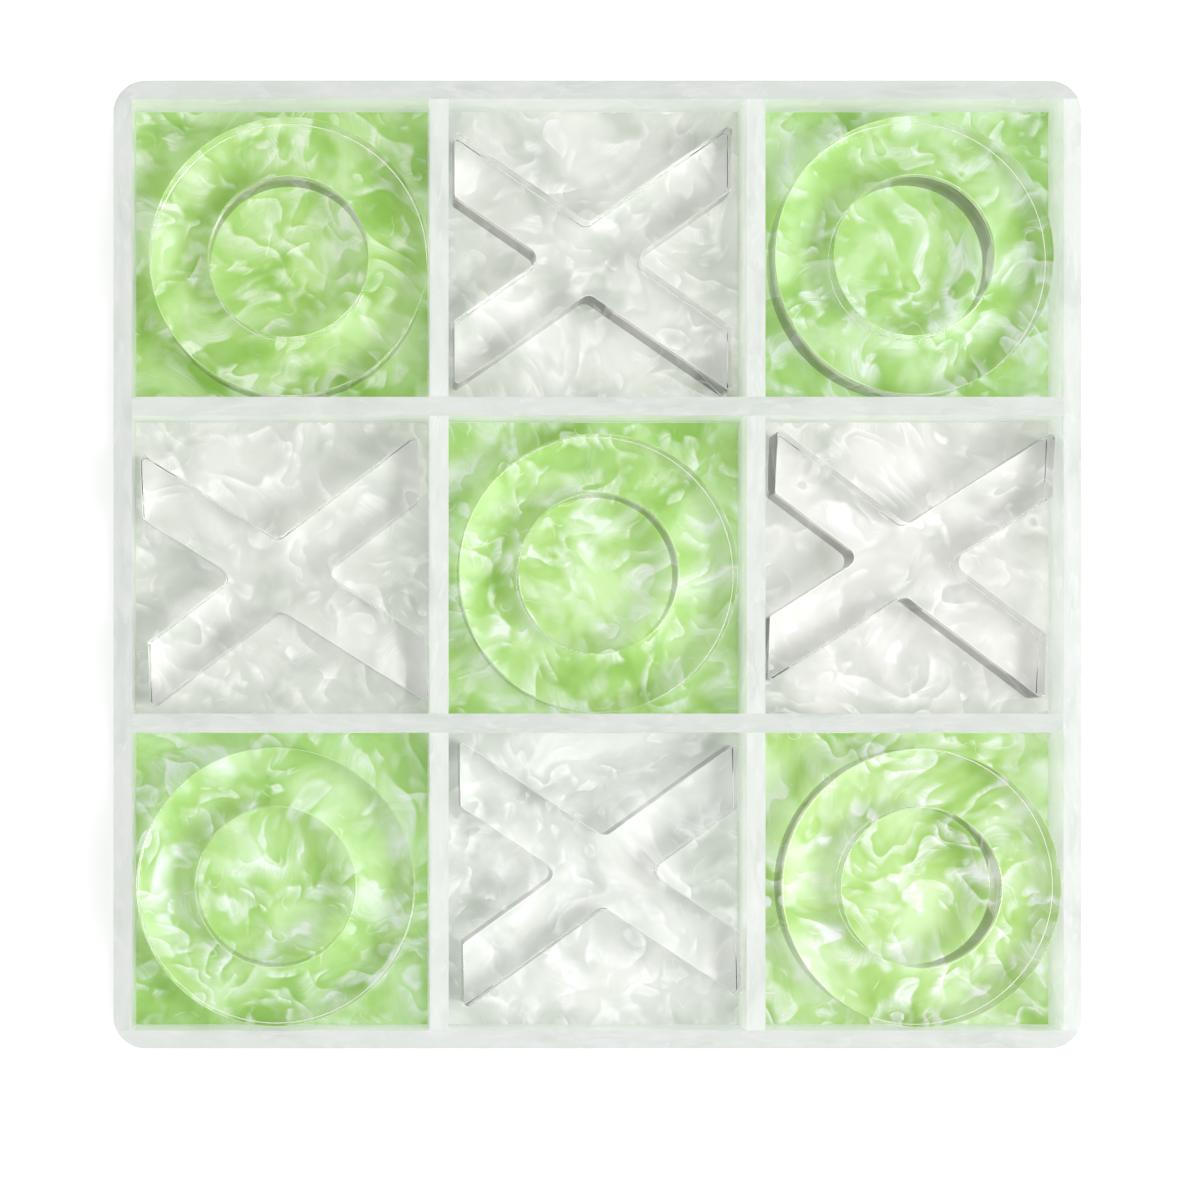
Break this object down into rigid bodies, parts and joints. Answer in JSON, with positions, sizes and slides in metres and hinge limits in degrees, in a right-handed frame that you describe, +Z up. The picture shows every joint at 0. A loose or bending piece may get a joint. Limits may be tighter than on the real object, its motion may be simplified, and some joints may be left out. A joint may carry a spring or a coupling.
{
  "type": "noughts and crosses board game",
  "caption": "Square pearl acrylic noughts and crosses tray with walled cells, a green and white chequered floor, and loose clear rings and crosses.",
  "frame": {"origin": "centre of the tray on its flat underside, so the tray rests on z = 0", "axes": "+X to the right and +Y to the back as the board is read from above, +Z up out of the cells"},
  "size_m": [0.3048, 0.3048, 0.0294],
  "materials": {
    "white_pearl": "polished white pearl cast acrylic",
    "green_pearl": "polished light green pearl cast acrylic",
    "clear_acrylic": "clear cast acrylic with polished edges"
  },
  "bodies": {
    "tray": {"base_plate": "white_pearl", "back_wall": "white_pearl", "front_wall": "white_pearl", "left_wall": "white_pearl", "right_wall": "white_pearl", "back_long_divider": "white_pearl", "front_long_divider": "white_pearl", "back_left_divider": "white_pearl", "back_right_divider": "white_pearl", "middle_left_divider": "white_pearl", "middle_right_divider": "white_pearl", "front_left_divider": "white_pearl", "front_right_divider": "white_pearl", "back_left_tile": "green_pearl", "back_middle_tile": "white_pearl", "back_right_tile": "green_pearl", "middle_left_tile": "white_pearl", "centre_tile": "green_pearl", "middle_right_tile": "white_pearl", "front_left_tile": "green_pearl", "front_middle_tile": "white_pearl", "front_right_tile": "green_pearl"},
    "back_left_ring": {"back_left_ring": "clear_acrylic"},
    "back_right_ring": {"back_right_ring": "clear_acrylic"},
    "centre_ring": {"centre_ring": "clear_acrylic"},
    "front_left_ring": {"front_left_ring": "clear_acrylic"},
    "front_right_ring": {"front_right_ring": "clear_acrylic"},
    "back_cross": {"back_cross": "clear_acrylic"},
    "left_cross": {"left_cross": "clear_acrylic"},
    "right_cross": {"right_cross": "clear_acrylic"},
    "front_cross": {"front_cross": "clear_acrylic"}
  },
  "joints": [
    {"name": "back_left_ring_lift", "type": "slide", "parent": "tray", "child": "back_left_ring", "axis": [0, 0, 1], "range_m": [0, 0.045]},
    {"name": "back_right_ring_lift", "type": "slide", "parent": "tray", "child": "back_right_ring", "axis": [0, 0, 1], "range_m": [0, 0.045]},
    {"name": "centre_ring_lift", "type": "slide", "parent": "tray", "child": "centre_ring", "axis": [0, 0, 1], "range_m": [0, 0.045]},
    {"name": "front_left_ring_lift", "type": "slide", "parent": "tray", "child": "front_left_ring", "axis": [0, 0, 1], "range_m": [0, 0.045]},
    {"name": "front_right_ring_lift", "type": "slide", "parent": "tray", "child": "front_right_ring", "axis": [0, 0, 1], "range_m": [0, 0.045]},
    {"name": "back_cross_lift", "type": "slide", "parent": "tray", "child": "back_cross", "axis": [0, 0, 1], "range_m": [0, 0.045]},
    {"name": "left_cross_lift", "type": "slide", "parent": "tray", "child": "left_cross", "axis": [0, 0, 1], "range_m": [0, 0.045]},
    {"name": "right_cross_lift", "type": "slide", "parent": "tray", "child": "right_cross", "axis": [0, 0, 1], "range_m": [0, 0.045]},
    {"name": "front_cross_lift", "type": "slide", "parent": "tray", "child": "front_cross", "axis": [0, 0, 1], "range_m": [0, 0.045]}
  ]
}
